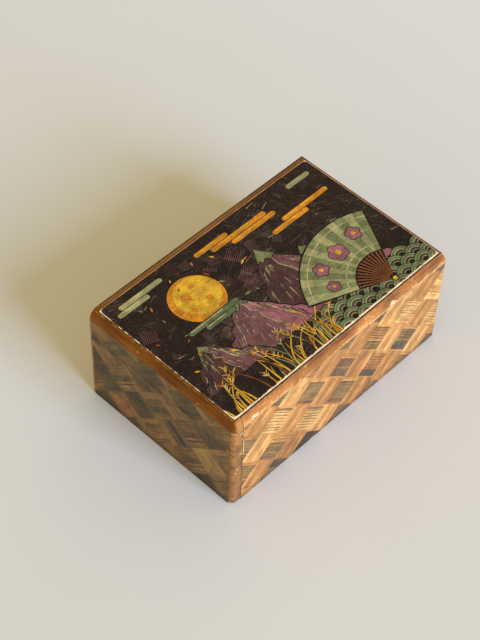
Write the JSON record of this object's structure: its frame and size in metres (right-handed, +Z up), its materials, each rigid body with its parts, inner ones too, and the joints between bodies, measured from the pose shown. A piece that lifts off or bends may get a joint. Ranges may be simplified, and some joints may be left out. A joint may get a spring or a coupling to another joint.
{
  "type": "japanese puzzle box",
  "caption": "Wooden trick box with marquetry faces, a sliding picture lid and a split end face whose panels drop on guides to free the lid.",
  "frame": {"origin": "centre of the box's outline on the surface it stands on", "axes": "+X along the box from the opening end to the closed end, -Y out of the front long face, +Z up"},
  "size_m": [0.12, 0.0782, 0.0515],
  "materials": {
    "band_wood": "brown stained and lacquered, semi-gloss",
    "plain_wood": "bare planed wood",
    "pale_wood": "bare planed pale wood",
    "panel_wood": "pinkish brown wood, worn lacquer on its end grain",
    "marquetry": "lacquered basket-weave marquetry of light and dark woods",
    "picture_sheet": "thin lacquered printed sheet, dark ground with a cream margin"
  },
  "bodies": {
    "case": {"front_side_board": "band_wood", "back_side_board": "band_wood", "far_end_board": "band_wood", "near_inner_wall": "plain_wood", "bottom_board": "plain_wood", "base_veneer": "pale_wood", "front_marquetry": "marquetry", "back_marquetry": "marquetry", "far_marquetry": "marquetry", "front_lid_rail": "pale_wood", "back_lid_rail": "pale_wood"},
    "lid": {"lid_board": "plain_wood", "lid_near_band": "band_wood", "lid_spline": "pale_wood", "lid_picture_sheet": "picture_sheet"},
    "upper_end_panel": {"upper_panel": "panel_wood", "upper_marquetry": "marquetry", "upper_guides": "pale_wood", "key_studs": "pale_wood"},
    "lower_end_panel": {"lower_panel": "panel_wood", "lower_marquetry": "marquetry", "lower_guides": "pale_wood"}
  },
  "joints": [
    {"name": "lid_slide", "type": "slide", "parent": "case", "child": "lid", "axis": [-1, 0, 0], "range_m": [0, 0.105]},
    {"name": "lower_panel_drop", "type": "slide", "parent": "case", "child": "lower_end_panel", "axis": [0, 0, -1], "range_m": [0, 0.004]},
    {"name": "upper_panel_drop", "type": "slide", "parent": "case", "child": "upper_end_panel", "axis": [0, 0, -1], "range_m": [0, 0.004]}
  ],
  "couplings": [
    {"joint": "upper_panel_drop", "follows": "lower_panel_drop", "ratio": 1}
  ]
}
